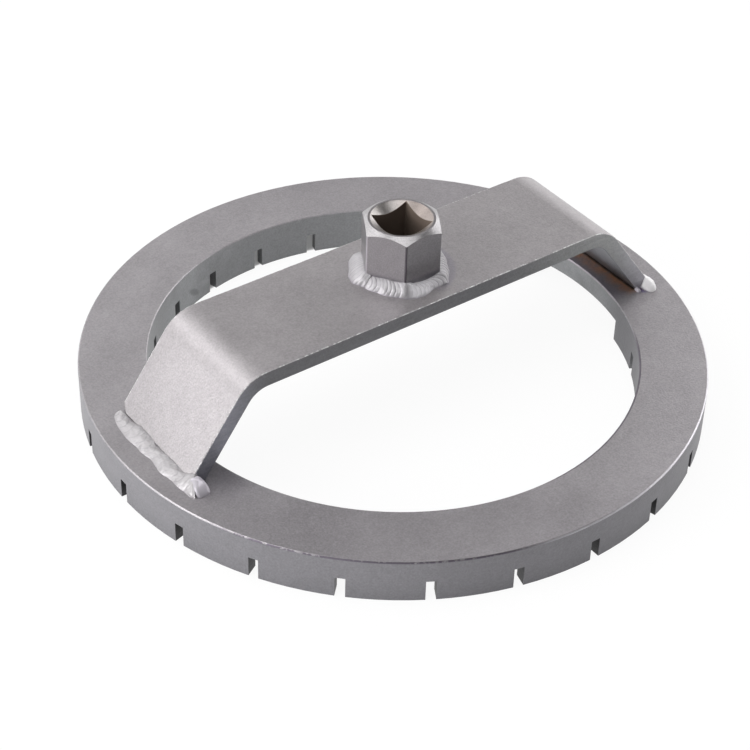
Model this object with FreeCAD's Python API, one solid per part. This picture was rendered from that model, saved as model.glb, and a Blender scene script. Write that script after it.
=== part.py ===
"""Fuel tank cap wrench: a castellated ring, a bent bridge bar and a square-drive boss, welded up.

Frame: millimetres, +Z up. The origin is the centre of the ring's underside. +X runs along the
bridge bar, towards the foot that stands over the relieved part of the inner rim, and -Y is the
side on which the foot welds run on past the bar.
"""
import FreeCAD, Part

import math
import os

Vector = FreeCAD.Vector
ORIGIN = Vector(0, 0, 0)
Z_AXIS = Vector(0, 0, 1)

# How far every cutting shape runs past the surface that it cuts
overrun = 1.0

# Ring: a flat flange with two toothed rims below it, so that its section is an inverted U
ring_outer_d = 191.5
ring_bore_d = 150.0
flange_t = 6.7
rim_depth = 7.3
outer_rim_t = 4.3
inner_rim_t = 2.8
outer_edge_break = 0.4
bore_edge_break = 0.25

# Saw cuts: evenly spaced, each one straight through both rims
slot_count = 24
slot_w = 3.0
slot_depth = 6.8

# Relief: a stretch of the inner rim that is left out below the flange, centred on +X
relief_half_angle = 16.9

# Bridge bar: flat steel bent down to two feet that stand on the flange
bar_w = 38.8
bar_t = 5.0
bar_rise = 28.8
bend_inner_r = 7.8
leg_angle = 54.0
foot_tip_out = 1.5
foot_nose_cut = 1.4
bar_arris_break = 0.2
bar_shift = 0.9

# Corner taken off the left foot on its far side, across the leg's thickness and along the foot
far_corner_in = 1.4
far_corner_back = 3.0

# Drive boss: a hexagon with a square socket for a half-inch square drive
boss_af = 22.0
boss_h = 18.2
boss_shift = 0.5
boss_face_r = 10.05
boss_chamfer_angle = 35.0
drive_square = 12.7
drive_clearance = 0.1
drive_corner_r = 0.4
lead_in_land = 0.7
lead_in_angle = 35.0

# Weld round the boss: two runs of overlapping ripples. Each mark gives an angle, how far the toe is
# from the boss's axis, and how high the weld climbs the boss.
boss_weld_marks = [
    (-172.5, 15.2, 2.9), (-147.0, 15.3, 3.2), (-118.0, 15.6, 2.6), (-97.0, 15.3, 2.1),
    (-77.0, 15.5, 2.0), (-66.0, 16.2, 2.4), (-57.0, 15.6, 3.0), (-30.0, 14.9, 3.2),
    (-4.0, 15.8, 3.4), (60.0, 15.2, 3.6), (100.0, 14.6, 3.4), (111.0, 13.6, 2.4),
    (120.0, 15.3, 3.6), (160.0, 15.3, 4.1), (176.0, 16.0, 4.2), (187.5, 15.2, 3.0)]
boss_weld_start_angle = -172.5
boss_weld_joint_angle = 15.0
boss_weld_step_angle = 3.75
boss_ripple = 0.05
boss_weld_shape = [(0.0, 0.0), (1.0, 0.0), (0.78, 0.36), (0.4, 0.74), (0.0, 1.0)]

# Weld along the outside of each foot, lumpy along its length. Each mark gives a share of the length
# from the far end, how high the weld climbs the foot, and the toe's share of its full width.
foot_weld_marks = [
    (0.0, 1.0, 0.55), (0.08, 1.6, 0.9), (0.3, 2.2, 1.05), (0.42, 1.8, 0.92), (0.55, 2.3, 1.05),
    (0.7, 1.9, 0.93), (0.82, 2.3, 1.0), (0.9, 4.0, 0.95), (0.95, 4.4, 0.85), (1.0, 2.6, 0.45)]
left_weld_toe = 4.3
left_weld_overrun = 5.2
left_weld_seat = 2.0
right_weld_toe = 2.2
right_weld_overrun = 4.1
right_weld_seat = 3.0
foot_weld_far_overrun = 0.6
foot_weld_spans = 30
foot_ripple = 0.04
foot_weld_shape = [(0.78, 0.38), (0.25, 0.82)]

# Short return of the weld round the near corner of each foot
left_return_r = 3.3
left_return_back = 1.6
right_return_r = 1.1
right_return_back = 4.6
return_width = 0.75
return_slope = 0.85
return_bite = 0.5
return_sides = 14
return_shape = [(1.0, 0.0), (0.92, 0.36), (0.68, 0.72), (0.3, 1.0)]

# Derived places
ring_h = flange_t+rim_depth
outer_r = ring_outer_d/2
bore_r = ring_bore_d/2
mean_r = (outer_r+bore_r)/2
bar_top = ring_h+bar_rise
slope = math.radians(leg_angle)
foot_tip_x = mean_r+foot_tip_out
shoulder_x = foot_tip_x-bar_rise/math.tan(slope)
nose_x = foot_tip_x-foot_nose_cut
boss_x = bar_shift+boss_shift
socket_w = drive_square+drive_clearance


def xz(x, z):
    """Point in the plane of the bar's side view."""
    return Vector(x, 0, z)


def polygon_face(points):
    """Flat face inside a closed polygon."""
    return Part.Face(Part.makePolygon(points+points[:1]))


def rounded_path(points, radius):
    """Edges through the points, with a tangent arc of one radius at each inner point."""
    edges = []
    start = points[0]
    for before, corner, after in zip(points, points[1:], points[2:]):
        to_before = (before-corner).normalize()
        to_after = (after-corner).normalize()
        half = to_before.getAngle(to_after)/2
        bisector = (to_before+to_after).normalize()
        first = corner+to_before*(radius/math.tan(half))
        last = corner+to_after*(radius/math.tan(half))
        middle = corner+bisector*(radius/math.sin(half)-radius)
        edges.append(Part.LineSegment(start, first).toShape())
        edges.append(Part.Arc(first, middle, last).toShape())
        start = last
    edges.append(Part.LineSegment(start, points[-1]).toShape())
    return edges


def between(marks, place, column):
    """Value of one column of the marks at a place, in a straight line from mark to mark."""
    for before, after in zip(marks, marks[1:]):
        if place <= after[0]:
            share = (place-before[0])/(after[0]-before[0])
            return before[column]+(after[column]-before[column])*share
    return marks[-1][column]


def loft_polygons(sections):
    """Closed solid through polygons of equal point counts, with straight sides between them."""
    wires = [Part.makePolygon(section+section[:1]) for section in sections]
    return Part.makeLoft(wires, True, True)


def make_ring():
    """Turned inverted-U ring with its saw cuts and the relief in the inner rim."""
    groove_inner_r = bore_r+inner_rim_t
    groove_outer_r = outer_r-outer_rim_t
    section = polygon_face([
        xz(bore_r, 0), xz(groove_inner_r, 0), xz(groove_inner_r, rim_depth),
        xz(groove_outer_r, rim_depth), xz(groove_outer_r, 0), xz(outer_r, 0),
        xz(outer_r, ring_h-outer_edge_break), xz(outer_r-outer_edge_break, ring_h),
        xz(bore_r+bore_edge_break, ring_h), xz(bore_r, ring_h-bore_edge_break)])
    body = section.revolve(ORIGIN, Z_AXIS, 360)

    blade = Part.makeBox(outer_r-bore_r+2*overrun, slot_w, slot_depth+overrun,
                         Vector(bore_r-overrun, -slot_w/2, -overrun))
    cuts = []
    for index in range(slot_count):
        cut = blade.copy()
        cut.rotate(ORIGIN, Z_AXIS, 360*index/slot_count)
        cuts.append(cut)

    relief_section = polygon_face([
        xz(bore_r-overrun, -overrun), xz(groove_inner_r+overrun, -overrun),
        xz(groove_inner_r+overrun, rim_depth), xz(bore_r-overrun, rim_depth)])
    relief = relief_section.revolve(ORIGIN, Z_AXIS, 2*relief_half_angle)
    relief.rotate(ORIGIN, Z_AXIS, -relief_half_angle)
    cuts.append(relief)
    return body.cut(Part.makeCompound(cuts))


def make_bridge_bar():
    """Flat bar bent at both shoulders, with its feet cut level and their sharp tips taken off."""
    nose_z = ring_h+foot_nose_cut*math.tan(slope)
    inner_shoulder_x = shoulder_x-bar_t*math.tan(slope/2)
    inner_foot_x = foot_tip_x-bar_t/math.sin(slope)
    outer = [xz(-nose_x, nose_z), xz(-shoulder_x, bar_top), xz(shoulder_x, bar_top), xz(nose_x, nose_z)]
    inner = [xz(inner_foot_x, ring_h), xz(inner_shoulder_x, bar_top-bar_t),
             xz(-inner_shoulder_x, bar_top-bar_t), xz(-inner_foot_x, ring_h)]

    edges = rounded_path(outer, bend_inner_r+bar_t)
    edges.append(Part.makeLine(outer[-1], xz(nose_x, ring_h)))
    edges.append(Part.makeLine(xz(nose_x, ring_h), inner[0]))
    edges += rounded_path(inner, bend_inner_r)
    edges.append(Part.makeLine(inner[-1], xz(-nose_x, ring_h)))
    edges.append(Part.makeLine(xz(-nose_x, ring_h), outer[0]))
    profile = Part.Face(Part.Wire(edges))
    profile.translate(Vector(0, -bar_w/2, 0))
    bar = profile.extrude(Vector(0, bar_w, 0))

    along_a_side = [edge for edge in bar.Edges if edge.BoundBox.YLength < bar_w/2]
    long_edges = [edge for edge in along_a_side if edge.BoundBox.ZMax > nose_z+bar_arris_break]
    bar = bar.makeChamfer(bar_arris_break, long_edges)

    on_nose = Vector(-nose_x, bar_w/2-far_corner_back, 0)
    on_side = Vector(-nose_x+far_corner_in, bar_w/2, 0)
    past = (on_side-on_nose).normalize()*(2*overrun)
    corner = polygon_face([
        on_nose-past, on_side+past, Vector(on_nose.x-past.x, on_side.y+past.y, 0)])
    bar = bar.cut(corner.extrude(Vector(0, 0, bar_top)))
    bar.translate(Vector(bar_shift, 0, 0))
    return bar


def make_drive_boss():
    """Hexagon with a turned top chamfer, a square socket and a conical lead-in."""
    corner_r = boss_af/math.sqrt(3)
    corners = []
    for index in range(6):
        angle = math.radians(60*index)
        corners.append(Vector(corner_r*math.cos(angle), corner_r*math.sin(angle), 0))
    hexagon = polygon_face(corners).extrude(Vector(0, 0, boss_h))

    outside_r = corner_r+overrun
    chamfer_drop = (outside_r-boss_face_r)*math.tan(math.radians(boss_chamfer_angle))
    turned_blank = polygon_face([
        xz(0, 0), xz(outside_r, 0), xz(outside_r, boss_h-chamfer_drop), xz(boss_face_r, boss_h),
        xz(0, boss_h)]).revolve(ORIGIN, Z_AXIS, 360)

    socket = Part.makeBox(socket_w, socket_w, boss_h+2*overrun, Vector(-socket_w/2, -socket_w/2, -overrun))
    upright = [edge for edge in socket.Edges if edge.BoundBox.ZLength > boss_h]
    socket = socket.makeFillet(drive_corner_r, upright)

    lead_in_r = boss_face_r-lead_in_land
    lead_in_slope = math.tan(math.radians(lead_in_angle))
    lead_in = polygon_face([
        xz(0, boss_h-lead_in_r*lead_in_slope), xz(lead_in_r+overrun/lead_in_slope, boss_h+overrun),
        xz(0, boss_h+overrun)]).revolve(ORIGIN, Z_AXIS, 360)

    boss = hexagon.common(turned_blank).cut(socket).cut(lead_in)
    boss.translate(Vector(boss_x, 0, bar_top))
    return boss


def boss_weld_section(angle, size):
    """Bead section in the upright plane at one angle, from the boss's flat out to the toe."""
    off_flat = math.radians(angle % 60-30)
    wall_r = boss_af/2/math.cos(off_flat)
    reach = (between(boss_weld_marks, angle, 1)-wall_r)*size
    height = between(boss_weld_marks, angle, 2)*size
    heading = Vector(math.cos(math.radians(angle)), math.sin(math.radians(angle)), 0)
    base = Vector(boss_x, 0, bar_top)
    return [base+heading*(wall_r+reach*out)+Z_AXIS*(height*up) for out, up in boss_weld_shape]


def make_boss_weld(start, end):
    """One run of rippled bead between two angles round the boss."""
    spans = round((end-start)/boss_weld_step_angle)
    sections = []
    for index in range(spans+1):
        size = 1+boss_ripple*(1 if index % 2 else -1)
        sections.append(boss_weld_section(start+(end-start)*index/spans, size))
    return loft_polygons(sections)


def make_foot_weld(side, full_toe, near_overrun, seat, bar):
    """Lumpy fillet along the outside of one foot; side is +1 for the right foot, -1 for the left."""
    far_y = bar_w/2+foot_weld_far_overrun
    near_y = -bar_w/2-near_overrun
    sections = []
    for index in range(foot_weld_spans+1):
        along = index/foot_weld_spans
        y = far_y+(near_y-far_y)*along
        ripple = 1+foot_ripple*(1 if index % 2 else -1)
        height = between(foot_weld_marks, along, 1)*ripple
        toe = between(foot_weld_marks, along, 2)*full_toe*ripple
        top_x = foot_tip_x-height/math.tan(slope)
        outline = [(nose_x-seat, 0.0), (nose_x+toe, 0.0)]
        outline += [(nose_x+out*toe, up*height) for out, up in foot_weld_shape]
        outline += [(top_x, height), (top_x-seat, height)]
        sections.append([Vector(bar_shift+side*x, y, ring_h+z) for x, z in outline])
    return loft_polygons(sections).cut(bar)


def make_return_weld(side, radius, back, bar, foot_weld):
    """Domed lump of weld on the flange against the near side of one foot, longer than it is wide."""
    centre = Vector(bar_shift+side*(nose_x-back), -bar_w/2-radius+return_bite, ring_h)
    height = return_slope*radius
    sections = []
    for out, up in return_shape:
        outline = []
        for corner in range(return_sides):
            angle = 2*math.pi*corner/return_sides
            away = Vector(return_width*math.cos(angle), math.sin(angle), 0)*(radius*out)
            outline.append(centre+away+Z_AXIS*(height*up))
        sections.append(outline)
    return loft_polygons(sections).cut(bar).cut(foot_weld)


def build():
    """All pieces of the wrench by node name."""
    bar = make_bridge_bar()
    left_weld = make_foot_weld(-1, left_weld_toe, left_weld_overrun, left_weld_seat, bar)
    right_weld = make_foot_weld(1, right_weld_toe, right_weld_overrun, right_weld_seat, bar)
    left_return = make_return_weld(-1, left_return_r, left_return_back, bar, left_weld)
    right_return = make_return_weld(1, right_return_r, right_return_back, bar, right_weld)
    return {
        "ring": make_ring(),
        "bridge_bar": bar,
        "drive_boss": make_drive_boss(),
        "boss_weld_front": make_boss_weld(boss_weld_start_angle, boss_weld_joint_angle),
        "boss_weld_rear": make_boss_weld(boss_weld_joint_angle, boss_weld_start_angle+360),
        "left_foot_weld": left_weld,
        "right_foot_weld": right_weld,
        "left_foot_return_weld": left_return,
        "right_foot_return_weld": right_return,
    }


os.makedirs("parts", exist_ok=True)
for name, shape in build().items():
    shape.exportStep(os.path.join("parts", name+".step"))
    print(name, "volume", round(shape.Volume, 1), "solids", len(shape.Solids), "valid", shape.isValid())
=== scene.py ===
"""Looks of a welded fuel tank cap wrench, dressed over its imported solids.

Frame: metres, +Z up. The origin is the centre of the ring's underside and +X runs along the bridge
bar. Sizes that a maker would quote are given in millimetres and turned into metres at the mesh.
"""

import logging
import math
from dataclasses import dataclass, replace
from enum import Enum
from typing import Any, Mapping, Sequence

import bpy
import numpy as np
from mathutils import Matrix, Vector

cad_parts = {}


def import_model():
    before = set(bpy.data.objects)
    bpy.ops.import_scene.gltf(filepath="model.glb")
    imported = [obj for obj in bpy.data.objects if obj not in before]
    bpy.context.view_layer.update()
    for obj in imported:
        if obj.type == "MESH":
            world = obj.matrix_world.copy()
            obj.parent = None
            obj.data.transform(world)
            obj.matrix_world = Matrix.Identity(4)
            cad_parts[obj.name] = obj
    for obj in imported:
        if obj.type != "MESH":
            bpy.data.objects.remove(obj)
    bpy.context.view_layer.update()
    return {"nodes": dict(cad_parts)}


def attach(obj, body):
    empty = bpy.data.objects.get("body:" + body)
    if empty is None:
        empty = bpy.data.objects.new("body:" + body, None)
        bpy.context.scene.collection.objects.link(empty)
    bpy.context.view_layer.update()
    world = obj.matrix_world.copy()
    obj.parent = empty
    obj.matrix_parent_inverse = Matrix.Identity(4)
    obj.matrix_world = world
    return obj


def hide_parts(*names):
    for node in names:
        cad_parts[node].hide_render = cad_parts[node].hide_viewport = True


log = logging.getLogger("wrench")

Triple = tuple[float, float, float]
Colour = Triple
Marks = tuple[Triple, ...]

MM = 0.001
SINK = 0.06
BAR_TURN = math.radians(-37.61)


@dataclass(frozen=True)
class BarShape:
    """Sizes of the bridge bar, and where it and the boss stand, as in the solids."""

    half_width: float = 19.4
    top_z: float = 42.8
    flange_z: float = 14.0
    tip_x: float = 86.875
    nose_x: float = 85.475
    shift: float = 0.9
    leg_angle: float = math.radians(54.0)
    boss_x: float = 1.4


BAR = BarShape()


# Arrays and meshes


def seen_from_front(point: Sequence[float]) -> Vector:
    """A point given as (right, away, up) from the photographer's side, in the wrench's frame."""
    return Matrix.Rotation(BAR_TURN, 3, "Z") @ Vector(point)


def smooth_step(values: np.ndarray, low: float, high: float) -> np.ndarray:
    """Rise from 0 at low to 1 at high, level at both ends.

    Args:
        values: Where the step is read.
        low: Value at which it starts.
        high: Value at which it is 1.

    Returns:
        The step at each value.
    """
    t = np.clip((values - low) / (high - low), 0.0, 1.0)
    return t * t * (3.0 - 2.0 * t)


def wander(u: np.ndarray, v: np.ndarray, size: float, seed: int, octaves: int = 4) -> np.ndarray:
    """Smooth seeded unevenness: plane waves in random directions, each octave half as large.

    Args:
        u: First coordinate, in millimetres.
        v: Second coordinate, in millimetres.
        size: Length of the largest waves, in millimetres.
        seed: Seed of the directions and phases.
        octaves: How many times the waves are halved.

    Returns:
        Values between about -1 and 1.
    """
    rng = np.random.default_rng(seed)
    total = np.zeros(np.broadcast(u, v).shape)
    for octave in range(octaves):
        waves = np.zeros_like(total)
        for heading, phase in zip(rng.uniform(0, math.pi, 5), rng.uniform(0, 2 * math.pi, 5)):
            reach = 2 * math.pi * 2**octave / size
            waves = waves + np.sin(reach * (u * math.cos(heading) + v * math.sin(heading)) + phase)
        total = total + waves * 0.5**octave / 3.2
    return total


def softened(values: np.ndarray, reach: int) -> np.ndarray:
    """Values averaged over a window of neighbours, which rounds their corners off."""
    window = np.hanning(reach)
    return np.convolve(np.pad(values, reach // 2, "edge"), window / window.sum(), "valid")


def domed_ends(along: np.ndarray, first: float, last: float) -> np.ndarray:
    """Share of the full section where a run starts and ends in a quarter circle.

    Args:
        along: Distance along the run at each row, in millimetres.
        first: Length of the rise at the start.
        last: Length of the fall at the end.

    Returns:
        The share at each row.
    """
    start = np.clip((along - along[0]) / first, 0, 1)
    end = np.clip((along[-1] - along) / last, 0, 1)
    return np.maximum(0.06, np.sqrt(1 - (1 - start) ** 2) * np.sqrt(1 - (1 - end) ** 2))


def signed_volume(mesh: bpy.types.Mesh) -> float:
    """Volume inside a closed mesh, from the tetrahedra between its triangles and the origin.

    Args:
        mesh: The closed mesh.

    Returns:
        The volume, negative where the faces point inwards.
    """
    mesh.calc_loop_triangles()
    corners = np.empty(len(mesh.vertices) * 3)
    mesh.vertices.foreach_get("co", corners)
    used = np.empty(len(mesh.loop_triangles) * 3, int)
    mesh.loop_triangles.foreach_get("vertices", used)
    a, b, c = corners.reshape(-1, 3)[used].reshape(-1, 3, 3).transpose(1, 0, 2)
    return float(np.einsum("ij,ij->i", a, np.cross(b, c)).sum() / 6)


def placed(name: str, data: bpy.types.ID) -> bpy.types.Object:
    """Make an object of a mesh, a light or a camera and put it in the scene.

    Args:
        name: Its name.
        data: What it shows.

    Returns:
        The object, at the origin.
    """
    thing = bpy.data.objects.new(name, data)
    bpy.context.scene.collection.objects.link(thing)
    return thing


def closed_surface(name: str, points: np.ndarray) -> bpy.types.Object:
    """Mesh a grid that closes round: a quad between each four neighbours, a cap at each end.

    Args:
        name: Name of the piece.
        points: Points by row and by place round the row, in millimetres.

    Returns:
        The piece, at the origin, shaded smooth, its faces pointing outwards.
    """
    rows, columns, _ = points.shape
    index = np.arange(rows * columns).reshape(rows, columns)
    below, above = index[:-1], index[1:]
    quads = np.stack([below, np.roll(below, -1, 1), np.roll(above, -1, 1), above], -1)
    faces = quads.reshape(-1, 4).tolist() + [index[0, ::-1].tolist(), index[-1].tolist()]
    mesh = bpy.data.meshes.new(name)
    mesh.from_pydata((points.reshape(-1, 3) * MM).tolist(), [], faces)
    mesh.validate()
    mesh.update()
    if signed_volume(mesh) < 0:
        mesh.flip_normals()
    mesh.polygons.foreach_set("use_smooth", np.ones(len(mesh.polygons), bool))
    return placed(name, mesh)


def mark(piece: bpy.types.Object, name: str, values: np.ndarray) -> None:
    """Keep one value for each point of a mesh, for its material to read."""
    attribute = piece.data.attributes.new(name, "FLOAT", "POINT")
    attribute.data.foreach_set("value", values.ravel().astype(np.float32))


# Shader graphs


class Wire:
    """A node's output, on which Python's arithmetic adds Math nodes."""

    def __init__(self, graph: "Graph", socket: bpy.types.NodeSocket) -> None:
        """Keep the output and the graph that it belongs to."""
        self.graph = graph
        self.socket = socket

    def math(self, operation: str, *values: Any) -> "Wire":
        """This value put through one Math node, with the other values that it takes."""
        return self.graph.add("Math", {"operation": operation}, dict(enumerate((self, *values))))

    def __add__(self, other: Any) -> "Wire":
        """Sum."""
        return self.math("ADD", other)

    def __mul__(self, other: Any) -> "Wire":
        """Product."""
        return self.math("MULTIPLY", other)

    def __sub__(self, other: Any) -> "Wire":
        """Difference."""
        return self.math("SUBTRACT", other)

    def __rsub__(self, other: float) -> "Wire":
        """A number less this value."""
        return self.graph.add("Math", {"operation": "SUBTRACT"}, {0: other, 1: self})

    __radd__ = __add__
    __rmul__ = __mul__

    def step(self, low: float, high: float) -> "Wire":
        """Smooth rise from 0 at low to 1 at high.

        Args:
            low: Value at which it is 0.
            high: Value at which it is 1; it may be the lower number.

        Returns:
            The step.
        """
        if high < low:
            return 1.0 - self.step(high, low)
        return self.graph.add("MapRange", {"interpolation_type": "SMOOTHSTEP"},
                              {"Value": self, "From Min": low, "From Max": high})

    def band(self, low: float, high: float, soft: float) -> "Wire":
        """1 between low and high, falling to 0 over the soft distance outside them."""
        return self.step(low - soft, low) * self.step(high + soft, high)


class Graph:
    """The node tree of a material or of the world."""

    def __init__(self, owner: bpy.types.ID) -> None:
        """Start with an empty tree.

        Args:
            owner: The material or world.
        """
        owner.use_nodes = True
        self.owner = owner
        self.tree = owner.node_tree
        self.tree.nodes.clear()

    def add(self, kind: str, settings: Mapping[str, Any] | None = None,
            sockets: Mapping[Any, Any] | None = None, output: str | int = 0) -> Wire:
        """Add one node.

        Args:
            kind: Type of the node, without its ShaderNode prefix.
            settings: Its own properties, which are set first.
            sockets: Values or wires by the name or number of the input.
            output: Name or number of the output that is wanted.

        Returns:
            That output.
        """
        node = self.tree.nodes.new("ShaderNode" + kind)
        for key, value in (settings or {}).items():
            setattr(node, key, value)
        for key, value in (sockets or {}).items():
            if isinstance(value, Wire):
                self.tree.links.new(value.socket, node.inputs[key])
            else:
                node.inputs[key].default_value = value
        return Wire(self, node.outputs[output] if node.outputs else None)

    def blend(self, share: Any, first: Any, second: Any, mode: str = "MIX") -> Wire:
        """Mix two colours.

        Args:
            share: Share of the second colour.
            first: A colour or a wire.
            second: A colour or a wire.
            mode: How the second is laid over the first.

        Returns:
            The mixed colour.
        """
        first, second = ((*c, 1.0) if isinstance(c, tuple) else c for c in (first, second))
        return self.add("Mix", {"data_type": "RGBA", "blend_type": mode},
                        {"Factor": share, 6: first, 7: second}, 2)

    def rays(self) -> tuple[Wire, Wire]:
        """Read what kind of ray is being followed.

        Returns:
            1 for a camera ray, and 1 for a glossy or transmission ray.
        """
        seen, glossy, through = (self.add("LightPath", output=f"Is {name} Ray")
                                 for name in ("Camera", "Glossy", "Transmission"))
        return seen, glossy.math("MAXIMUM", through)

    def finish(self, colour: Any, rough: Any, metal: Any, bump: Wire, bump_depth: float,
               bump_share: float) -> bpy.types.Material:
        """Join up the metal's shader and the output.

        Args:
            colour: Base colour.
            rough: Roughness.
            metal: Metallic.
            bump: Height, in units of the depth.
            bump_depth: Height of 1, in metres.
            bump_share: Strength of the bump.

        Returns:
            The material.
        """
        normal = self.add("Bump", None, {
            "Height": bump, "Distance": bump_depth, "Strength": bump_share})
        shader = self.add("BsdfPrincipled", None, {
            "Base Color": colour, "Roughness": rough, "Metallic": metal, "Normal": normal})
        self.add("OutputMaterial", None, {"Surface": shader})
        return self.owner


class Place:
    """A place in Object coordinates, in millimetres."""

    def __init__(self, graph: Graph, centre_x: float = 0.0) -> None:
        """Add the nodes that give the place.

        Args:
            graph: Graph to which they are added.
            centre_x: Where on X the place's own first coordinate is 0.
        """
        self.graph = graph
        self.point = graph.add("VectorMath", {"operation": "SCALE"},
                               {0: graph.add("TexCoord", output="Object"), "Scale": 1 / MM})
        self.x, self.y, self.z = (graph.add("SeparateXYZ", None, {0: self.point}, axis)
                                  for axis in "XYZ")
        if centre_x:
            self.x = self.x - centre_x

    def noise(self, size: float, detail: float, rough: float,
              stretch: Triple = (1.0, 1.0, 1.0)) -> Wire:
        """Noise, stretched along the axes.

        Args:
            size: Size of its largest features, in millimetres.
            detail: How many finer layers it has.
            rough: Strength of each finer layer.
            stretch: Scale of the pattern along each axis.

        Returns:
            Values round 0.5.
        """
        spread = self.graph.add("VectorMath", {"operation": "MULTIPLY"},
                                {0: self.point, 1: stretch})
        return self.graph.add("TexNoise", {"noise_dimensions": "3D"}, {
            "Vector": spread, "Scale": 1.0 / size, "Detail": detail, "Roughness": rough}, "Fac")

    def out(self) -> Wire:
        """Distance from the upright line through the centre."""
        return (self.x * self.x + self.y * self.y).math("SQRT")

    def towards(self, angle: float) -> Wire:
        """Distance from that line in a direction, given in degrees from +X."""
        turn = math.radians(angle)
        return self.x * math.cos(turn) + self.y * math.sin(turn)


@dataclass(frozen=True)
class Flank:
    """The side of the wrench that lies in one direction, in degrees from +X.

    Its share is 0 up to one distance in that direction and 1 past another, in millimetres.
    """

    angle: float
    start: float
    full: float

    def share(self, at: Place) -> Wire:
        """The share at a place."""
        return at.towards(self.angle).step(self.start, self.full)


@dataclass(frozen=True)
class Spot:
    """A soft upright oval, 0 outside its edge and 1 inside its heart."""

    x: float
    y: float
    squash: float
    edge: float
    heart: float

    def share(self, at: Place) -> Wire:
        """The share at a place: the distance from the middle, with Y weighed by the squash."""
        x, y = at.x - self.x, at.y - self.y
        return (x * x + y * y * self.squash).math("SQRT").step(self.edge, self.heart)


# Finishes


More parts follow.
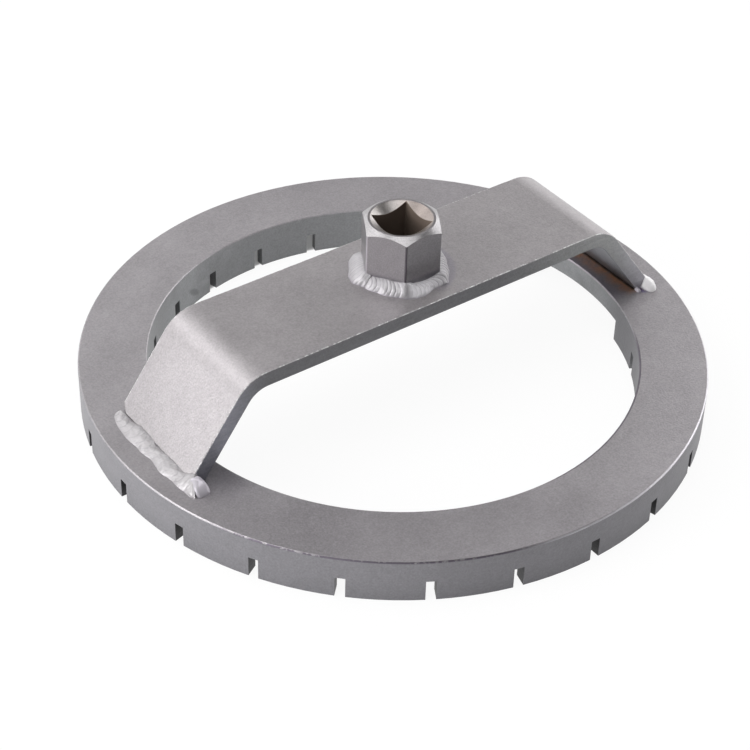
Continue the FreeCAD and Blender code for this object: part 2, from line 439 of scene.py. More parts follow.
@dataclass(frozen=True)
class BlastedZinc:
    """Fine-blasted steel under satin zinc plate, as on the ring."""

    top: Colour = (0.35, 0.333, 0.346)
    top_painted_shade: Colour = (0.25, 0.236, 0.249)
    bore: Colour = (0.209, 0.212, 0.218)
    bore_painted_light: Colour = (0.265, 0.27, 0.278)
    outer: Colour = (0.211, 0.206, 0.22)
    wall_painted_shade: Colour = (0.12, 0.118, 0.128)
    sawn_inner_painted_light: Colour = (0.195, 0.198, 0.203)
    sawn_outer_painted_shade: Colour = (0.035, 0.034, 0.037)
    edge_painted_shade: Colour = (0.1, 0.085, 0.11)
    edge_painted_highlight: Colour = (0.52, 0.505, 0.535)
    scorch_with_painted_light: Colour = (0.64, 0.38, 0.24)
    smoke_and_shade: Colour = (0.175, 0.165, 0.18)
    painted_light_under_leg: Colour = (0.36, 0.33, 0.36)
    blued: Colour = (0.17, 0.135, 0.27)
    joint: Colour = (0.05, 0.038, 0.03)
    stain: Colour = (0.085, 0.087, 0.09)
    painted_shade_top_near: Flank = Flank(-119.9, 49.83, 84.71)
    painted_shade_top_far: Flank = Flank(45.0, 50.51, 85.86)
    painted_shade_outer_near: Flank = Flank(-84.86, 67.73, 89.64)
    painted_shade_bore_near: Flank = Flank(-45.0, 57.76, 71.71)
    painted_light_bore_right: Flank = Flank(0.0, 71.5, 74.6)
    painted_light_bore_far: Flank = Flank(111.7, 71.44, 74.53)
    painted_shade_edge_front: Flank = Flank(-130.0, 83.0, 89.5)
    painted_highlight_edge: Flank = Flank(-58.0, 66.0, 76.0)
    painted_shade_bore_edge: Flank = Flank(-60.0, 62.0, 69.0)
    blued_spot: Spot = Spot(84.0, -20.6, 2.0, 3.4, 1.2)
    painted_shade_spot: Spot = Spot(-76.0, -20.0, 0.6, 13.0, 2.0)
    bore_r: float = 75.0
    outer_r: float = 95.75
    slot_depth: float = 6.8
    slot_half: float = 1.5
    slot_count: int = 24
    top_z: float = 13.55
    foot_inner_x: float = 81.6
    stain_angle: float = 112.4
    stain_z: float = 4.7
    stain_rise: float = 0.62
    stain_length: float = 2.9
    stain_height: float = 1.5
    roughness: float = 0.47

    def sawn_share(self, at: Place) -> Wire:
        """Find the side walls of the saw cuts: near a cut's edge, inside the rims' round walls.

        Args:
            at: Place on the ring.

        Returns:
            1 on those walls.
        """
        pitch = 2 * math.pi / self.slot_count
        turns = at.y.math("ARCTAN2", at.x) * (1 / pitch)
        aside = (turns - turns.math("ROUND")).math("ABSOLUTE") * at.out() * pitch
        return (aside.step(self.slot_half + 0.12, self.slot_half + 0.05)
                * at.out().band(self.bore_r + 0.12, self.outer_r - 0.12, 0.05)
                * at.z.step(self.slot_depth + 0.15, self.slot_depth + 0.05))

    def stain_share(self, at: Place) -> Wire:
        """Find the small slanting oval stain on the bore's wall.

        Args:
            at: Place on the ring.

        Returns:
            1 inside it, fading at its border.
        """
        along = at.towards(self.stain_angle + 90.0)
        up = at.z - self.stain_z - along * self.stain_rise
        reach = (along * along * self.stain_length**-2 + up * up * self.stain_height**-2)
        return reach.math("SQRT").step(1.25, 0.45) * at.y.step(40.0, 50.0)

    def with_painted_edges(self, colour: Wire, at: Place) -> Wire:
        """Paint light and shade on the flange's broken edges.

        The outer edge has dashes of painted shade in front and a painted highlight to the right;
        the inner edge has a line of painted shade to the right in front.

        Args:
            colour: Colour of the ring.
            at: Place on it.

        Returns:
            The marked colour.
        """
        g = at.graph
        edge = (at.out().step(self.outer_r - 0.42, self.outer_r - 0.30)
                * at.z.step(self.top_z - 0.1, self.top_z + 0.05))
        bore_edge = (at.out().step(self.bore_r + 0.60, self.bore_r + 0.45)
                     * at.z.step(self.top_z - 0.4, self.top_z - 0.2))
        dashes = at.noise(1.6, 2.0, 0.6).step(0.34, 0.50) * 0.85
        # Painted shade along the inner edge; a painted highlight and dashes of painted shade on the
        # outer.
        colour = g.blend(bore_edge * self.painted_shade_bore_edge.share(at) * 0.8, colour, self.edge_painted_shade)
        colour = g.blend(edge * self.painted_highlight_edge.share(at), colour, self.edge_painted_highlight)
        return g.blend(edge * self.painted_shade_edge_front.share(at) * dashes, colour, self.edge_painted_shade)

    def tinted_with_light_and_shade(self, colour: Wire, at: Place, cloud: Wire) -> Wire:
        """Add the tints from the welding, with painted light and painted shade by the feet.

        Beside the right foot's inner face the plate is scorched brown, that colour raised as
        painted light against the leg's shadow; further in it is lightened by painted light, and it
        is black at the joint. Beside the left foot there is a soft patch of painted shade.

        Args:
            colour: Colour of the clean plate.
            at: Place on it.
            cloud: Broad noise that breaks the borders.

        Returns:
            The tinted colour.
        """
        g = at.graph
        foot_x = self.foot_inner_x
        flat = at.z.step(13.0, 13.9)
        mottle = at.noise(6.0, 3.0, 0.6)
        foot = at.y.band(1.5 - BAR.half_width, 16.0, 3.5) * flat
        wide = at.x.band(72.0, foot_x + 4.0, 1.0)
        near = at.x.band(foot_x - 1.5, foot_x + 3.0, 5.0)
        joint = at.x.band(foot_x - 0.4, foot_x + 3.0, 1.0)
        # Painted light on the plate under the right leg; the scorch's colour is raised as painted
        # light.
        colour = g.blend(wide * foot * (0.55 + cloud * 0.5), colour, self.painted_light_under_leg)
        colour = g.blend(near * foot * mottle.step(0.28, 0.62), colour, self.scorch_with_painted_light)
        colour = g.blend(joint * foot * (0.4 + mottle * 0.9), colour, self.joint)
        colour = g.blend(self.blued_spot.share(at) * flat * 0.75, colour, self.blued)
        # Painted shade on the plate beside the left foot.
        return g.blend(self.painted_shade_spot.share(at) * flat * 0.8, colour, self.smoke_and_shade)

    def walls(self, at: Place, outer: Wire, cloud: Wire) -> Wire:
        """Colour the round walls of the rims, with painted light and painted shade by side.

        Args:
            at: Place on the ring.
            outer: 1 on the outer rim, 0 on the inner.
            cloud: Broad noise that breaks the stretches of painted light on the bore.

        Returns:
            The colour.
        """
        g = at.graph
        # Painted light: two stretches of the bore's wall, towards +X and towards the far left, are
        # lighter.
        light = self.painted_light_bore_right.share(at).math("MAXIMUM", self.painted_light_bore_far.share(at))
        bore = g.blend(light * cloud.step(0.3, 0.6), self.bore, self.bore_painted_light)
        # Painted shade on one side of the bore, and on the outer wall towards its bottom and at the
        # front right.
        bore = g.blend(self.painted_shade_bore_near.share(at), bore, self.wall_painted_shade)
        painted_dimming = at.z.step(9.0, -2.0) * 0.35 + self.painted_shade_outer_near.share(at) * 0.3
        return g.blend(outer * painted_dimming, g.blend(outer, bore, self.outer), self.wall_painted_shade)

    def material(self) -> bpy.types.Material:
        """Make the ring's finish: grain, cloudiness, turned lines on the walls, the tints, and
        painted light and shade.

        Returns:
            The material.
        """
        g = Graph(bpy.data.materials.new("ring_blasted_zinc"))
        at = Place(g)
        cloud = at.noise(16.0, 3.0, 0.55)
        grain = at.noise(0.6, 2.0, 0.6)
        fleck = at.noise(2.2, 2.0, 0.6)
        turned = at.noise(0.5, 1.0, 0.5, (0.03, 0.03, 1.0))
        on_top = at.z.step(self.top_z, self.top_z + 0.3)
        outer = at.out().step(83.0, 88.0)
        # Painted shade: the ring's top is darker towards the front and towards the far side.
        painted_dimming = self.painted_shade_top_near.share(at) * 0.4 + self.painted_shade_top_far.share(at) * 0.3
        top = g.blend(painted_dimming, self.top, self.top_painted_shade)
        # The saw cuts' side walls: a sawn surface, lightened by painted light in the inner rim and
        # darkened by painted shade in the outer rim.
        sawn_light_and_shade = g.blend(outer, self.sawn_inner_painted_light, self.sawn_outer_painted_shade)
        colour = g.blend(on_top, self.walls(at, outer, cloud), top)
        colour = g.blend(self.sawn_share(at), colour, sawn_light_and_shade)
        colour = self.tinted_with_light_and_shade(colour, at, cloud)
        shade = 0.53 + cloud * 0.22 + grain * 0.56 + fleck * 0.16
        colour = self.with_painted_edges(g.blend(1.0, colour, shade, "MULTIPLY"), at)
        colour = g.blend(self.stain_share(at) * 0.5, colour, self.stain)
        rough = self.roughness + (grain - 0.5) * 0.12 + (cloud - 0.5) * 0.08
        bump = grain + (1.0 - on_top) * turned * 0.8 + fleck * 0.6
        return g.finish(colour, rough, 0.55 + on_top * 0.37, bump, 0.00008, 0.7)


@dataclass(frozen=True)
class SatinBar:
    """Satin plated flat bar; its sheared sides are paler towards both feet."""

    face: Colour = (0.345, 0.327, 0.335)
    side: Colour = (0.16, 0.16, 0.168)
    side_left: Colour = (0.3, 0.3, 0.345)
    side_right: Colour = (0.298, 0.302, 0.303)
    side_tip: Colour = (0.47, 0.462, 0.5)
    inner: Colour = (0.195, 0.197, 0.215)
    arris_painted_highlight: Colour = (0.52, 0.5, 0.515)
    speck: Colour = (0.75, 0.75, 0.75)
    blue: Colour = (0.23, 0.215, 0.29)
    arris_width: float = 0.2
    roughness: float = 0.47

    def depth(self, at: Place) -> Wire:
        """Measure how far a point lies below the bar's outer faces, the leg's or the top's.

        Args:
            at: Place on the bar.

        Returns:
            The depth, in millimetres.
        """
        in_leg = ((BAR.tip_x - (at.x - BAR.shift).math("ABSOLUTE")) * math.sin(BAR.leg_angle)
                  - (at.z - BAR.flange_z) * math.cos(BAR.leg_angle))
        return in_leg.math("MINIMUM", BAR.top_z - at.z)

    def arris_share(self, at: Place, depth: Wire) -> Wire:
        """Find the long outer arrises, with a painted highlight that fades down the right leg.

        Args:
            at: Place on the bar.
            depth: Depth below the outer faces.

        Returns:
            1 on the arrises.
        """
        end = BAR.half_width - 0.08
        return (at.y.math("ABSOLUTE").band(end - self.arris_width, end, 0.05)
                * depth.step(1.4, 0.8) * (1.0 - at.x.step(66.0, 71.0) * 0.75))

    def material(self) -> bpy.types.Material:
        """Make the bar's finish: grain, drawn lines, bright specks, a tint at the boss, and painted
        light and shade on the arrises, the inner faces and the left leg.

        Returns:
            The material.
        """
        g = Graph(bpy.data.materials.new("bar_satin_zinc"))
        at = Place(g)
        cloud = at.noise(13.0, 3.0, 0.55)
        grain = at.noise(0.6, 2.0, 0.6)
        fleck = at.noise(2.2, 2.0, 0.6)
        drawn = at.noise(0.7, 2.0, 0.55, (0.06, 1.0, 1.0))
        depth = self.depth(at)
        on_side = at.y.math("ABSOLUTE").step(BAR.half_width - 0.03, BAR.half_width - 0.01)
        on_arris = self.arris_share(at, depth)
        chips = at.noise(1.2, 3.0, 0.7).step(0.49, 0.58) * on_arris
        side = g.blend(at.x.step(16.0, 56.0), self.side, self.side_right)
        side = g.blend(at.x.step(-58.0, -74.0), side, self.side_left)
        side = g.blend(at.x.step(66.0, 86.0), side, self.side_tip)
        # Painted shade on the bar's inner faces, deep below its outer faces.
        colour = g.blend(depth.step(3.2, 4.6), self.face, self.inner)
        colour = g.blend(on_side, colour, side)
        # Painted highlight on the arrises, broken by flecks.
        colour = g.blend(on_arris * fleck.step(0.35, 0.6), colour, self.arris_painted_highlight)
        # Painted shade: the left leg is darker towards its foot.
        painted_shade_left_leg = at.z.step(38.0, 15.0) * at.x.step(-55.0, -65.0)
        shade = (0.55 + cloud * 0.18 + grain * 0.52 + fleck * 0.20
                 + on_side * (drawn - 0.5) * 0.3 - painted_shade_left_leg * 0.11)
        colour = g.blend(1.0, colour, shade, "MULTIPLY")
        halo = Place(g, BAR.boss_x).out().band(14.0, 15.8, 1.6) * at.z.step(41.0, 42.5)
        colour = g.blend(halo * at.x.step(2.0, 9.0) * 0.3, colour, self.blue)
        colour = g.blend(chips, colour, self.speck)
        rough = self.roughness + (grain - 0.5) * 0.12 + (cloud - 0.5) * 0.06 - chips * 0.15
        bump = grain + fleck * 0.6 + on_side * drawn * 0.8 + chips * 1.5
        return g.finish(colour, rough, 0.92 - on_side * 0.32, bump, 0.00008, 0.65)


@dataclass(frozen=True)
class TurnedHexagon:
    """Machined hexagon: flats with faint grain, a turned chamfer and a dark socket."""

    flat: Colour = (0.293, 0.282, 0.293)
    chamfer: Colour = (0.292, 0.282, 0.288)
    land: Colour = (0.3, 0.282, 0.29)
    lead_in: Colour = (0.296, 0.278, 0.269)
    lead_in_warm: Colour = (0.219, 0.19, 0.176)
    smoke_and_shade: Colour = (0.16, 0.148, 0.17)
    socket: Colour = (0.15, 0.116, 0.094)
    corner_painted_shade: Colour = (0.06, 0.05, 0.065)
    corner_painted_highlight: Colour = (0.56, 0.535, 0.575)
    warm_side: Flank = Flank(-37.67, -4.0, 4.0)
    corner_r: float = 12.70
    half_socket: float = 6.4
    lead_in_r: float = 9.35
    face_r: float = 10.05
    end_z: float = 61.0
    cone_slope: float = 0.70
    roughness: float = 0.34

    def with_painted_corners(self, colour: Wire, at: Place, flats: Wire) -> Wire:
        """Paint two upright corners: a line of painted shade in front and a painted highlight at
        the left.

        Args:
            colour: Colour of the hexagon.
            at: Place on it.
            flats: 1 below the turned chamfer.

        Returns:
            The marked colour.
        """
        corner = at.out().step(self.corner_r - 0.24, self.corner_r - 0.12) * flats * 0.8
        front = at.y.step(-9.0, -10.0) * at.x.step(-3.0, -5.0)
        # Painted shade on the front corner, a painted highlight on the left one.
        colour = at.graph.blend(corner * front, colour, self.corner_painted_shade)
        return at.graph.blend(corner * at.x.step(-11.5, -12.2), colour, self.corner_painted_highlight)

    def material(self) -> bpy.types.Material:
        """Make the boss's finish by place: the flats, the turned end and inside the socket.

        Returns:
            The material.
        """
        g = Graph(bpy.data.materials.new("boss_turned_steel"))
        at = Place(g, BAR.boss_x)
        out = at.out()
        grain = at.noise(0.4, 2.0, 0.6)
        cloud = at.noise(4.0, 2.0, 0.5)
        lathe = g.add("TexNoise", {"noise_dimensions": "1D"}, {"W": out, "Scale": 5.0}, "Fac")
        square = at.x.math("ABSOLUTE").math("MAXIMUM", at.y.math("ABSOLUTE"))
        inside = square.step(self.half_socket + 0.12, self.half_socket + 0.04)
        level = at.z + (out - self.face_r).math("MAXIMUM", 0.0) * self.cone_slope
        top = level.step(self.end_z - 0.10, self.end_z - 0.04)
        cone = out.step(self.lead_in_r + 0.08, self.lead_in_r - 0.08) * (1.0 - inside)
        land = out.band(self.lead_in_r, self.face_r, 0.08) * at.z.step(60.7, 60.9)
        colour = g.blend(top, self.flat, self.chamfer)
        colour = g.blend(land, colour, self.land)
        lead_in = g.blend(self.warm_side.share(at), self.lead_in, self.lead_in_warm)
        colour = g.blend(cone, colour, lead_in)
        shade = 0.60 + cloud * 0.18 + grain * 0.60 + top * (lathe - 0.5) * 0.3
        colour = g.blend(1.0, colour, shade, "MULTIPLY")
        # A darker band of weld smoke on the flats just above the bead.
        colour = g.blend(at.z.step(47.6, 45.6) * (cloud * 1.4 - 0.1), colour, self.smoke_and_shade)
        colour = self.with_painted_corners(colour, at, 1.0 - top)
        colour = g.blend(inside, colour, self.socket)
        rough = self.roughness + (grain - 0.5) * 0.1 + inside * 0.3
        return g.finish(colour, rough, 0.92 - inside * 0.5, grain + top * lathe * 1.2, 0.00006, 0.4)


@dataclass(frozen=True)
class BrightWeld:
    """Bright weld metal: darker toes, painted shade in its valleys, painted light where marked."""

    name: str = "weld_bright"
    crest: Colour = (0.325, 0.315, 0.327)
    toe: Colour = (0.25, 0.235, 0.262)
    painted_shade: Colour = (0.165, 0.152, 0.17)
    painted_light: Colour = (0.5, 0.487, 0.51)
    painted_light_clears: float = 0.0
    metal: float = 0.5
    roughness: float = 0.54

    def material(self) -> bpy.types.Material:
        """Make the weld's finish: fine pitting, and tones from the mesh's own attributes.

        Returns:
            The material.
        """
        g = Graph(bpy.data.materials.new(self.name))
        at = Place(g)
        grain = at.noise(0.32, 3.0, 0.65)
        cloud = at.noise(2.6, 2.0, 0.5)
        toe, painted_shade, painted_light = (g.add("Attribute", {"attribute_name": name}, output="Fac")
                             for name in ("toe", "painted_shade", "painted_light"))
        # Painted light: a brighter colour where the mesh marks it, which also takes away the darker
        # toes and the painted shade.
        darkening_left = 1.0 - painted_light * self.painted_light_clears
        colour = g.blend(painted_light, self.crest, self.painted_light)
        colour = g.blend(toe * darkening_left * (0.5 + cloud * 0.6), colour, self.toe)
        # Painted shade in the ripples' valleys and along the top line.
        colour = g.blend(painted_shade * darkening_left * (0.4 + cloud * 0.8), colour, self.painted_shade)
        shade = 0.84 + cloud * 0.2 + grain * 0.14
        colour = g.blend(1.0, colour, shade, "MULTIPLY")
        rough = self.roughness + (grain - 0.5) * 0.2
        metal = self.metal - painted_light * (0.75 * self.metal)
        return g.finish(colour, rough, metal, grain + cloud, 0.00006, 0.4)


FOOT_METAL = BrightWeld(
    name="weld_foot", crest=(0.325, 0.313, 0.321), toe=(0.31, 0.296, 0.31),
    painted_shade=(0.19, 0.18, 0.19), painted_light=(0.80, 0.785, 0.795), painted_light_clears=0.9, metal=0.45,
    roughness=0.5)
RETURN_METAL = BrightWeld(
    name="weld_return", crest=(0.50, 0.473, 0.515), toe=(0.47, 0.445, 0.49),
    painted_shade=(0.25, 0.24, 0.26), painted_light=(0.5, 0.5, 0.5), metal=0.5, roughness=0.5)


# Sub-assemblies


@dataclass
class Run:
    """What a bead follows, with one value or point for each of its rows.

    The rows lie along the run. Toe is the outer line on the lower surface, top the line on the wall
    and under the line inside the joint. Size is the share of the full section, crisp the depth of
    the ripples as a share, free is 1 where no wall stands behind the bead, and the last field is
    the share of painted light on the weld.
    """

    along: np.ndarray
    toe: np.ndarray
    top: np.ndarray
    under: np.ndarray
    size: np.ndarray
    crisp: np.ndarray
    free: np.ndarray
    painted_light: np.ndarray

    def drawn_in(self) -> "Run":
        """Draw the lines in to the middle of the underside, by the size.

        Returns:
            The run with the new lines.
        """
        heart = (self.toe + self.under) / 2
        toe, top, under = (heart + (line - heart) * self.size[:, None]
                           for line in (self.toe, self.top, self.under))
        return replace(self, toe=toe, top=top, under=under)


@dataclass
class Bead:
    """A weld bead: ripples and lumps on a bulged strip between a toe line and a top line."""

    name: str
    ripple_pitch: float
    ripple_depth: float
    crescent: float
    lean: float
    unevenness: float
    lump_size: float
    bulge: float
    seed: int
    back_bulge: float = 0.22
    face_columns: int = 40
    back_columns: int = 10
    ridge_reach: int = 9
    ridge_width: float = 8.0

    def ripples(self, run: Run, s: np.ndarray, t: np.ndarray) -> tuple[np.ndarray, np.ndarray]:
        """Work out where each point stands in its ripple.

        The phase is the distance along the run over the pitch. It is held back by a parabola across
        the bead, which makes each valley an arc whose middle leads, and by the lean, which lets the
        toe lead.

        Args:
            run: What the bead follows.
            s: Distance along the run at each point.
            t: Share of the way from toe to top at each point.

        Returns:
            How near each point is to a valley, from 0 to 1, and how crisp its ripple is.
        """
        drift = wander(s, t * 3, 9.0, self.seed, 2) * 0.22
        dome = 4 * t * (1 - t)
        phase = s / self.ripple_pitch - self.crescent * dome - self.lean * (1 - t) + drift
        count = np.floor(phase)
        crisp = 0.8 + 0.3 * wander(count, np.zeros_like(phase), 3.1, self.seed + 5, 1)
        return np.abs(2 * (phase - count) - 1), np.clip(crisp, 0.2, 1.2) * run.crisp[:, None]

    def face(self, run: Run) -> tuple[np.ndarray, np.ndarray]:
        """Work out the bead's face.

        It is the straight line from toe to top, pushed outwards by a parabola, which bulges it, and
        by the ripples and lumps: humps between narrow valleys, which fade at toe and top.

        Args:
            run: What the bead follows, drawn in.

        Returns:
            The points, and the painted shade of each, in a valley or at the top line.
        """
        across = np.linspace(0.0, 1.0, self.face_columns)
        chord = run.top - run.toe
        middle = (run.toe + run.top) / 2
        outward = np.cross(chord, np.gradient(middle, axis=0))
        outward /= np.linalg.norm(outward, axis=1)[:, None]
        outward *= np.sign(np.einsum("ij,ij->i", outward, middle - run.under))[:, None]
        s, t = np.meshgrid(run.along, across, indexing="ij")
        valley, crisp = self.ripples(run, s, t)
        lumps = wander(s, t * 4, self.lump_size, self.seed + 9, 3) * self.unevenness
        fade = smooth_step(across, 0.0, 0.14) * smooth_step(1 - across, 0.0, 0.10)
        relief = (0.75 - valley**3) * crisp * self.ripple_depth + lumps
        lift = (self.bulge * np.linalg.norm(chord, axis=1)[:, None] * 4 * t * (1 - t)
                + relief * fade * np.minimum(run.size, 1)[:, None])
        points = (run.toe[:, None] + chord[:, None] * t[..., None]
                  + outward[:, None] * lift[..., None])
        return points, np.maximum(smooth_step(valley, 0.72, 1.0) * crisp * fade,
                                  0.8 * smooth_step(across, 0.88, 0.98))

    def back(self, run: Run) -> np.ndarray:
        """Work out the bead's back and underside.

        They are straight lines from top to under and from under to toe. Where the bead stands free,
        the first is pushed away from the toe by a parabola.

        Args:
            run: What the bead follows, drawn in.

        Returns:
            The points.
        """
        down = np.linspace(0.0, 1.0, self.back_columns + 2)[1:-1]
        proud = (self.back_bulge * run.free)[:, None] * (4 * down * (1 - down))
        toe, top, under = (line[:, None] for line in (run.toe, run.top, run.under))
        behind = top + (under - top) * down[:, None] + (under - toe) * proud[..., None]
        return np.concatenate([behind, under, under + (toe - under) * down[:, None]], 1)

    def ridge_rounded(self, section: np.ndarray, free: np.ndarray) -> np.ndarray:
        """Average each section over a window of its points, fully at the ridge of a free row.

        Args:
            section: Points by row and by place round the section.
            free: Share of the rounding at each row.

        Returns:
            The points.
        """
        reach = self.ridge_reach
        window = np.hanning(2 * reach + 3)[1:-1]
        wrapped = np.concatenate([section[:, -reach:], section, section[:, :reach]], 1)
        views = np.lib.stride_tricks.sliding_window_view(wrapped, 2 * reach + 1, axis=1)
        rounded = views @ (window / window.sum())
        off_ridge = (np.arange(section.shape[1]) - (self.face_columns - 1)) / self.ridge_width
        share = free[:, None, None] * np.exp(-off_ridge**2)[None, :, None]
        return section * (1 - share) + rounded * share

    def piece(self, run: Run) -> bpy.types.Object:
        """Build the bead's closed mesh, with its attributes for the toe, painted shade and painted
        light.

        Args:
            run: What the bead follows.

        Returns:
            The piece.
        """
        run = run.drawn_in()
        face, crease_shading = self.face(run)
        back = self.back(run)
        points = self.ridge_rounded(np.concatenate([face, back], 1), run.free)
        piece = closed_surface(self.name, points)
        toes = 1 - smooth_step(np.linspace(0.0, 1.0, self.face_columns), 0.0, 0.16)
        hidden = np.ones(back.shape[:2])
        toes = np.repeat(toes[None], len(run.along), 0)
        mark(piece, "toe", np.concatenate([toes, hidden], 1))
        mark(piece, "painted_shade", np.concatenate([crease_shading, hidden * 0], 1))
        mark(piece, "painted_light", np.repeat(run.painted_light[:, None], points.shape[1], 1))
        return piece


def seat(piece: bpy.types.Object, node: str, material: bpy.types.Material) -> None:
    """Dress a bead and let it stand for its plain solid.

    Args:
        piece: The bead.
        node: Name of the solid.
        material: The bead's material.
    """
    piece.data.materials.append(material)
    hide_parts(node)
    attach(piece, "root")
    log.info("%s: %d faces", piece.name, len(piece.data.polygons))


@dataclass
class BossWeld:
    """The two runs of weld between the hexagon and the bar's top.

    Each mark is an angle from +X in degrees, the toe's distance from the boss's axis there and the
    height to which the bead climbs the boss.
    """

    across_flats: float = 22.0
    run_r: float = 13.5
    bite: float = 0.3
    step: float = 0.08
    metal: BrightWeld = BrightWeld()
    marks: Marks = (
        (-176, 15.0, 2.9), (-169, 14.7, 3.1), (-163, 14.7, 3.2), (-154, 14.5, 3.3),
        (-146, 14.65, 3.4), (-137, 14.85, 3.4), (-127, 15.1, 3.5), (-121, 15.5, 4.0),
        (-115, 15.8, 3.5), (-107, 15.9, 2.6), (-98, 15.5, 2.2), (-91, 14.8, 2.0),
        (-84, 14.3, 1.9), (-77, 14.5, 1.9), (-70, 15.2, 2.2), (-64, 15.8, 2.6), (-57, 15.6, 3.1),
        (-47, 14.9, 3.3), (-29, 14.4, 3.3), (-9, 15.1, 3.4),
        (40, 15.5, 3.5), (80, 15.2, 3.5), (97, 14.2, 2.6), (105, 13.4, 1.3), (113, 13.4, 1.3),
        (118, 15.0, 1.8), (124, 15.6, 2.5), (134, 15.6, 3.6), (149, 15.3, 4.2), (160, 16.0, 4.3),
        (167, 16.3, 4.3), (175, 16.2, 4.0), (183, 15.0, 3.5), (191, 14.4, 3.1))

    def run(self, bead: Bead, start: float, end: float,
            crisp: Mapping[float, float]) -> bpy.types.Object:
        """Build one run between two angles.

        Args:
            bead: How the bead's face looks.
            start: Angle at which it starts, in degrees.
            end: Angle at which it ends.
            crisp: Depth of the ripples, as a share, by angle.

        Returns:
            The piece.
        """
        angle = np.linspace(start, end, round(math.radians(end - start) * self.run_r / self.step))
        along = np.radians(angle - start) * self.run_r
        heading = np.stack([np.cos(np.radians(angle)), np.sin(np.radians(angle)), 0 * angle], 1)
        at, radii, heights = np.array(self.marks).T
        toe_r, high = (softened(np.interp(angle, at, values), 15) for values in (radii, heights))
        toe_r = toe_r + 0.10 * wander(along, 0 * along, 5.0, bead.seed + 2, 3)
        high = high + 0.08 * wander(along, 0 * along, 6.0, bead.seed + 3, 2)
        flat_r = self.across_flats / 2 / np.cos(np.radians(angle % 60 - 30))
        up = np.array([0.0, 0.0, 1.0])
        base = np.array([BAR.boss_x, 0.0, BAR.top_z])
        wall = base + heading * (flat_r - self.bite)[:, None]
        return bead.piece(Run(
            along=along, toe=base + heading * toe_r[:, None] - up * SINK,
            top=wall + up * high[:, None], under=wall - up * SINK,
            size=domed_ends(along, 1.0, 1.5),
            crisp=np.interp(angle, list(crisp), list(crisp.values())), free=0 * along,
            # Painted light on the front-right stretch of the front run.
            painted_light=smooth_step(angle, -119.0, -112.0) * smooth_step(-angle, 58.0, 80.0)))

    def build(self) -> None:
        """Both runs, which stand for their plain solids."""
        front = Bead("boss_weld_front_bead", ripple_pitch=1.36, ripple_depth=0.15, crescent=1.0,
                     lean=0.9, unevenness=0.06, lump_size=2.6, bulge=0.12, seed=3)
        rear = Bead("boss_weld_rear_bead", ripple_pitch=1.05, ripple_depth=0.045, crescent=0.3,
                    lean=-0.8, unevenness=0.045, lump_size=2.4, bulge=0.14, seed=8)
        metal = self.metal.material()
        crisp = {-172: 0.9, -128: 0.9, -118: 0.3, -85: 0.8, -60: 1.3}
        seat(self.run(front, -173.5, 15.0, crisp), "boss_weld_front", metal)
        seat(self.run(rear, 15.0, 192.0, {15: 0.6, 187: 0.7}), "boss_weld_rear", metal)


class Side(Enum):
    """The two feet of the bar."""

    LEFT = -1
    RIGHT = 1


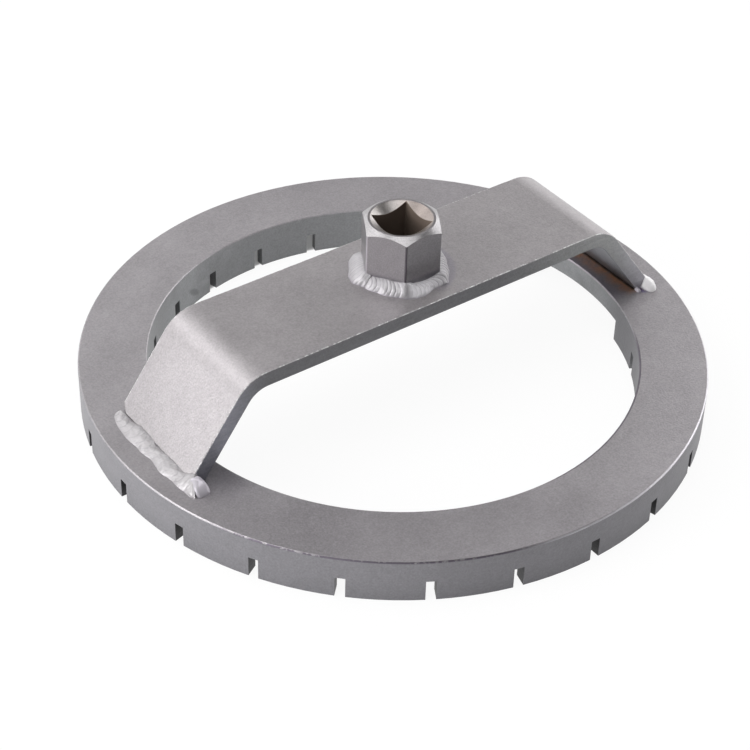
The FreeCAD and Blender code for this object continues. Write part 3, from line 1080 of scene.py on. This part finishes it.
@dataclass
class FootWeld:
    """Lumpy weld along the outside of one foot, with its short return round the near corner.

    Each mark is a place along the foot in Y, the toe's distance beyond the foot's nose there and
    the height to which the bead climbs the leg.
    """

    side: Side
    marks: Marks
    under_in: float
    veer: float
    painted_light_nugget: float
    return_radius: float
    return_back: float
    return_slope: float
    return_width: float = 0.72
    return_squareness: float = 0.5
    return_lean: float = 0.35
    return_lump: float = 0.03
    return_overlap: float = 0.5
    bite: float = 0.25
    step: float = 0.12

    def name(self) -> str:
        """The first words of this foot's pieces and nodes."""
        return self.side.name.lower() + "_foot"

    def line(self, x: np.ndarray, y: np.ndarray, z: np.ndarray) -> np.ndarray:
        """Points along the run, at these distances out and heights above the flange."""
        return np.stack([BAR.shift + self.side.value * x, y, BAR.flange_z + z], 1)

    def bead(self) -> bpy.types.Object:
        """Build the long bead; its section is a slanting strip from the flange up the leg.

        Returns:
            The piece.
        """
        at, toes, heights = np.array(self.marks)[::-1].T
        y = np.linspace(at[-1], at[0], round((at[-1] - at[0]) / self.step))
        along = at[-1] - y
        seed = 20 + self.side.value
        toe_out, high = (softened(np.interp(y, at, values), 15) for values in (toes, heights))
        toe_out = toe_out * (1 + 0.03 * wander(along, 0 * along, 5.0, seed, 3))
        high = high * (1 + 0.06 * wander(along, 0 * along, 3.4, seed + 1, 3))
        veer = self.veer * np.maximum(-BAR.half_width - y, 0)
        top_x = BAR.tip_x - high / math.tan(BAR.leg_angle) - self.bite
        low = -SINK + 0 * y
        bead = Bead(self.name() + "_bead", ripple_pitch=2.9, ripple_depth=0.018, crescent=0.8,
                    lean=0.0, unevenness=0.085, lump_size=3.2, bulge=0.13, seed=seed + 4)
        return bead.piece(Run(
            along=along, toe=self.line(BAR.nose_x + toe_out, y, low),
            top=self.line(top_x + 0.6 * veer, y, high),
            under=self.line(BAR.nose_x - self.under_in + veer, y, low),
            size=domed_ends(along, 1.6, 3.2),
            crisp=0.45 + 0.4 * wander(along, 0 * along, 17.0, seed + 6, 1),
            free=smooth_step(np.abs(y) - BAR.half_width, -0.3, 1.2),
            # Painted light on the nugget at the foot's near end.
            painted_light=self.painted_light_nugget * smooth_step(-y, 13.5, 16.5)))

    def corner(self) -> bpy.types.Object:
        """Build the return: a low dome on the flange, longer than wide.

        Its plan is a circle with its sides squared, its height a quarter sine that leans up the
        bar's side.

        Returns:
            The piece.
        """
        rings, sides = 40, 96
        lift, turn = np.meshgrid(np.linspace(0.0, math.pi / 2 - 0.03, rings),
                                 np.linspace(0.0, 2 * math.pi, sides, endpoint=False),
                                 indexing="ij")
        radius = self.return_radius
        level = np.cos(lift)
        lump = 1 + self.return_lump * wander(
            np.cos(turn) * level * radius * 1.2, np.sin(turn) * level * radius * 1.2, 5.0,
            31 + self.side.value, 1)
        out = radius * level ** 0.8 * lump
        across, along = (np.sign(v) * np.abs(v) ** self.return_squareness
                         for v in (np.cos(turn), np.sin(turn)))
        centre_x = BAR.shift + self.side.value * (BAR.nose_x - self.return_back)
        centre_y = -BAR.half_width - radius + self.return_overlap
        lean = 1 + self.return_lean * level * np.sin(turn)
        high = self.return_slope * radius * np.sin(lift) * lump * lean
        points = np.stack([centre_x + self.return_width * out * across, centre_y + out * along,
                           BAR.flange_z - SINK + high], -1)
        piece = closed_surface(self.name() + "_return_bead", points)
        toes = 1 - 0.5 * smooth_step(np.linspace(0, 1, rings), 0.0, 0.6)
        mark(piece, "toe", np.repeat(toes[:, None], sides, 1))
        # Painted shade on the dome's outer half.
        mark(piece, "painted_shade", smooth_step(self.side.value * np.cos(turn), 0.35, 0.95))
        mark(piece, "painted_light", 0 * turn)
        return piece

    def build(self, metal: bpy.types.Material, return_metal: bpy.types.Material) -> None:
        """The long bead and its return, which stand for their plain solids."""
        seat(self.bead(), self.name() + "_weld", metal)
        seat(self.corner(), self.name() + "_return_weld", return_metal)


LEFT_FOOT_WELD = FootWeld(
    Side.LEFT, under_in=1.6, veer=0.7, painted_light_nugget=0.0, return_radius=3.4, return_back=0.5,
    return_slope=1.0, marks=(
        (20.2, 2.0, 0.9), (18.6, 2.9, 1.4), (17.0, 3.5, 1.6), (15.1, 4.0, 1.45), (13.0, 4.3, 1.3),
        (8.5, 4.7, 2.2), (6.6, 4.6, 2.35), (1.4, 4.5, 2.2), (-0.9, 4.4, 1.4), (-3.3, 3.8, 1.7),
        (-8.8, 4.6, 2.0), (-10.7, 4.6, 1.95), (-14.8, 3.7, 1.8), (-17.5, 3.9, 2.6),
        (-19.5, 3.6, 4.0), (-21.5, 3.4, 3.6), (-23.5, 3.3, 2.5), (-25.2, 2.4, 1.4)))
RIGHT_FOOT_WELD = FootWeld(
    Side.RIGHT, under_in=3.0, veer=0.0, painted_light_nugget=1.0, return_radius=1.1, return_back=4.6,
    return_slope=0.85, marks=(
        (19.9, 1.2, 0.9), (17.0, 2.0, 1.6), (13.0, 2.2, 1.3), (6.6, 2.3, 2.2), (1.4, 2.3, 2.1),
        (-0.9, 2.1, 1.5), (-6.0, 2.2, 1.9), (-11.0, 2.1, 1.7), (-14.6, 2.2, 1.9),
        (-16.5, 2.7, 2.6), (-19.5, 2.5, 3.7), (-22.1, 1.9, 2.7), (-23.5, 1.5, 1.6)))


@dataclass(frozen=True)
class Lamp:
    """A rectangular softbox that faces the wrench.

    Its place is (right, away, up) from the photographer and its size width and height, in metres;
    its power is in watts.
    """

    name: str
    place: Triple
    size: tuple[float, float]
    power: float

    def build(self) -> None:
        """Hang the lamp and turn it to the wrench."""
        data = bpy.data.lights.new(self.name, "AREA")
        data.shape = "RECTANGLE"
        data.size, data.size_y = self.size
        data.energy = self.power
        spot = seen_from_front(self.place)
        aim = (Vector((0.0, 0.0, 0.03)) - spot).to_track_quat("-Z", "Y")
        turn = aim.to_matrix().to_4x4()
        placed(self.name, data).matrix_world = Matrix.Translation(spot) @ turn


@dataclass
class Studio:
    """White floor, soft lamps and the camera."""

    focal_px: float = 2088.293
    picture_px: float = 750.0
    sensor_mm: float = 36.0
    camera_place: Triple = (0.0, -506.598, 402.240)
    yaw: float = -0.0106263993
    pitch: float = 0.667647933
    roll: float = -0.0290203897
    floor_r: float = 6.0
    floor_sides: int = 96
    floor_drop: float = 0.00002
    floor_grey: float = 0.82
    white_share: float = 0.93
    shade: float = 0.83
    shade_from: float = 76.4
    shade_to: float = 86.0
    room: float = 0.042
    horizon: float = 0.12
    lamps: tuple[Lamp, ...] = (
        Lamp("left_high", (-1.2, 0.1, 1.2), (1.2, 0.8), 10.4),
        Lamp("left_back", (-1.1, 1.1, 0.7), (1.2, 0.9), 7.9),
        Lamp("back_low", (0.0, 1.7, 0.5), (2.0, 0.8), 7.6),
        Lamp("top", (0.0, 0.0, 1.8), (1.4, 1.4), 21.6),
        Lamp("right_back", (1.1, 1.1, 0.7), (1.2, 0.9), 10.7),
        Lamp("right_low", (1.6, 0.5, 0.35), (0.9, 0.6), 6.8),
        Lamp("front_left", (-1.1, -1.1, 0.9), (1.2, 0.9), 10.5),
        Lamp("left_front_low", (-1.45, -0.7, 0.4), (0.9, 0.6), 22.5))

    def camera(self) -> None:
        """Camera at the photograph's place, from its fitted angles and focal length."""
        turn = (Matrix.Rotation(BAR_TURN - self.yaw, 4, "Z")
                @ Matrix.Rotation(math.pi / 2 - self.pitch, 4, "X")
                @ Matrix.Rotation(-self.roll, 4, "Z"))
        data = bpy.data.cameras.new("camera")
        data.sensor_width = self.sensor_mm
        data.lens = self.sensor_mm * self.focal_px / self.picture_px
        data.clip_start = 0.01
        camera = placed("camera", data)
        place = seen_from_front(self.camera_place) * MM
        camera.matrix_world = Matrix.Translation(place) @ turn
        bpy.context.scene.camera = camera

    def floor(self) -> None:
        """Round white floor: white, with a faint shadow of the wrench and painted shade under the
        ring.
        """
        turn = np.linspace(0, 2 * math.pi, self.floor_sides, endpoint=False)
        rim = np.stack([np.cos(turn) * self.floor_r, np.sin(turn) * self.floor_r,
                        0 * turn - self.floor_drop], 1)
        mesh = bpy.data.meshes.new("floor")
        mesh.from_pydata(rim.tolist(), [], [list(range(self.floor_sides))])
        g = Graph(bpy.data.materials.new("floor_white"))
        at = Place(g)
        seen, mirrored = g.rays()
        # Painted shade: the floor's white is dimmed under the ring's inner rim and groove, except
        # towards +X.
        under_ring = at.out().band(self.shade_from, self.shade_to, 0.9) * at.x.step(50.0, 40.0)
        seen = seen.math("MAXIMUM", mirrored) * (1.0 - under_ring * self.shade)
        plain = g.add("BsdfDiffuse", None, {"Color": (*(self.floor_grey,) * 3, 1.0)})
        white = g.add("Emission", None, {"Color": (1.0, 1.0, 1.0, 1.0), "Strength": 1.0})
        surface = g.add("MixShader", None, {0: seen * self.white_share, 1: plain, 2: white})
        g.add("OutputMaterial", None, {"Surface": surface})
        mesh.materials.append(g.owner)
        placed("floor", mesh)

    def world(self) -> None:
        """Dim room above a white backdrop, which the camera sees everywhere and metal low down."""
        world = bpy.data.worlds.new("studio")
        bpy.context.scene.world = world
        g = Graph(world)
        up = g.add("SeparateXYZ", None, {0: g.add("TexCoord", output="Generated")}, "Z")
        seen, mirrored = g.rays()
        seen = seen.math("MAXIMUM", mirrored * up.step(self.horizon, 0.0))
        strength = self.room + seen * (1.0 - self.room)
        shader = g.add("Background", None, {"Color": (0.98, 0.99, 1.0, 1.0), "Strength": strength})
        g.add("OutputWorld", None, {"Surface": shader})

    def build(self) -> None:
        """Everything round the wrench."""
        self.camera()
        self.floor()
        self.world()
        for lamp in self.lamps:
            lamp.build()
        bpy.context.scene.view_settings.view_transform = "Standard"


def main() -> None:
    """Build the wrench's looks and its studio."""
    logging.basicConfig(level=logging.INFO, format="%(name)s: %(message)s")
    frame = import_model()
    Studio().build()
    finishes = {"ring": BlastedZinc(), "bridge_bar": SatinBar(), "drive_boss": TurnedHexagon()}
    for name, finish in finishes.items():
        material = finish.material()
        for slot in frame["nodes"][name].material_slots:
            slot.material = material
        log.info("%s: %s", name, material.name)
    BossWeld().build()
    metals = FOOT_METAL.material(), RETURN_METAL.material()
    for foot in (LEFT_FOOT_WELD, RIGHT_FOOT_WELD):
        foot.build(*metals)


if __name__ == "__main__":
    main()
